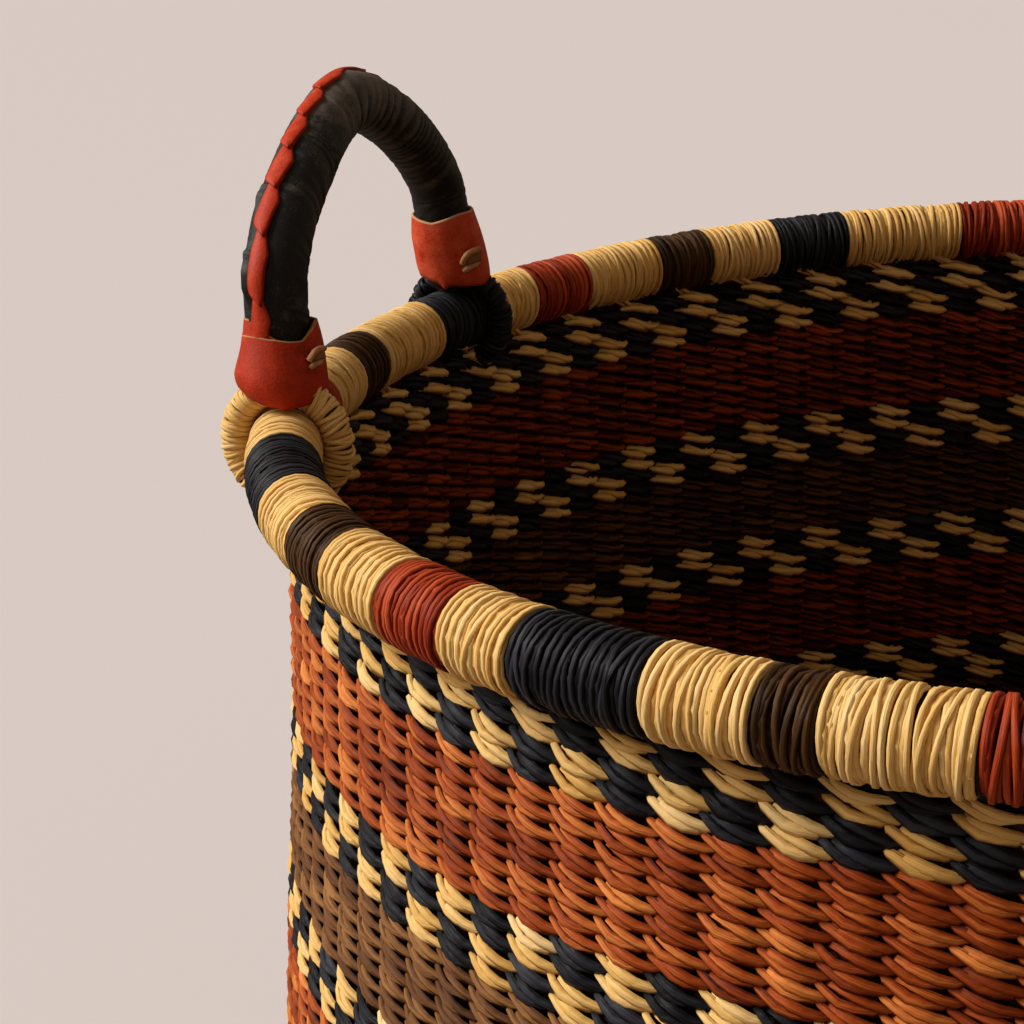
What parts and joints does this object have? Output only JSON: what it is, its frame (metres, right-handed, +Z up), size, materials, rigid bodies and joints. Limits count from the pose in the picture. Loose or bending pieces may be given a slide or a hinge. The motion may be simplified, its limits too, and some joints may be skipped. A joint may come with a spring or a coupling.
{
  "type": "woven basket",
  "caption": "Round floor basket of twined grass with striped and checked bands, a wrapped rim roll and leather-bound side handles that swing on the rim.",
  "frame": {"origin": "middle of the flat underside of the base", "axes": "+Z up, handles on -X and +X, each handle's hinge line along Y"},
  "size_m": [0.483, 0.483, 0.4183],
  "materials": {
    "natural_straw": "satin",
    "rust_straw": "satin",
    "black_straw": "satin",
    "brown_straw": "satin",
    "wall_rust_straw": "matte",
    "wall_brown_straw": "matte",
    "check_straw": "matte",
    "stake_straw": "matte",
    "stalk_core": "matte",
    "black_leather": "satin",
    "red_leather": "satin",
    "rawhide": "matte"
  },
  "bodies": {
    "basket": {"woven_base": "wall_rust_straw", "stake_wall": "stake_straw", "check_band_1": "check_straw", "check_band_2": "check_straw", "check_band_3": "check_straw", "check_band_4": "check_straw", "check_band_5": "check_straw", "check_band_6": "check_straw", "rust_band_1": "wall_rust_straw", "rust_band_2": "wall_rust_straw", "rust_band_3": "wall_rust_straw", "brown_band_1": "wall_brown_straw", "brown_band_2": "wall_brown_straw", "brown_band_3": "wall_brown_straw", "rim_roll": "natural_straw", "rim_wrap_rust_1": "rust_straw", "rim_wrap_rust_2": "rust_straw", "rim_wrap_rust_3": "rust_straw", "rim_wrap_rust_4": "rust_straw", "rim_wrap_rust_5": "rust_straw", "rim_wrap_rust_6": "rust_straw", "rim_wrap_rust_7": "rust_straw", "rim_wrap_rust_8": "rust_straw", "rim_wrap_rust_9": "rust_straw", "rim_wrap_black_1": "black_straw", "rim_wrap_black_2": "black_straw", "rim_wrap_black_3": "black_straw", "rim_wrap_black_4": "black_straw", "rim_wrap_black_5": "black_straw", "rim_wrap_black_6": "black_straw", "rim_wrap_black_7": "black_straw", "rim_wrap_black_8": "black_straw", "rim_wrap_black_9": "black_straw", "rim_wrap_brown_1": "brown_straw", "rim_wrap_brown_2": "brown_straw", "rim_wrap_brown_3": "brown_straw", "rim_wrap_brown_4": "brown_straw", "rim_wrap_brown_5": "brown_straw", "rim_wrap_brown_6": "brown_straw", "rim_wrap_brown_7": "brown_straw", "rim_wrap_brown_8": "brown_straw", "rim_wrap_brown_9": "brown_straw"},
    "left_handle": {"left_handle_core": "stalk_core", "left_handle_leather": "black_leather", "left_handle_lacing": "red_leather", "left_front_cuff": "red_leather", "left_front_peg": "rawhide", "left_front_loop_winding": "natural_straw", "left_back_cuff": "red_leather", "left_back_peg": "rawhide", "left_back_loop_winding": "black_straw"},
    "right_handle": {"right_handle_core": "stalk_core", "right_handle_leather": "black_leather", "right_handle_lacing": "red_leather", "right_back_cuff": "red_leather", "right_back_peg": "rawhide", "right_back_loop_winding": "natural_straw", "right_front_cuff": "red_leather", "right_front_peg": "rawhide", "right_front_loop_winding": "black_straw"}
  },
  "joints": [
    {"name": "left_handle_swing", "type": "hinge", "parent": "basket", "child": "left_handle", "pos_m": [-0.21731, 0, 0.33], "axis": [0, -1, 0], "range_deg": [-125, 130]},
    {"name": "right_handle_swing", "type": "hinge", "parent": "basket", "child": "right_handle", "pos_m": [0.21731, 0, 0.33], "axis": [0, 1, 0], "range_deg": [-125, 130]}
  ]
}
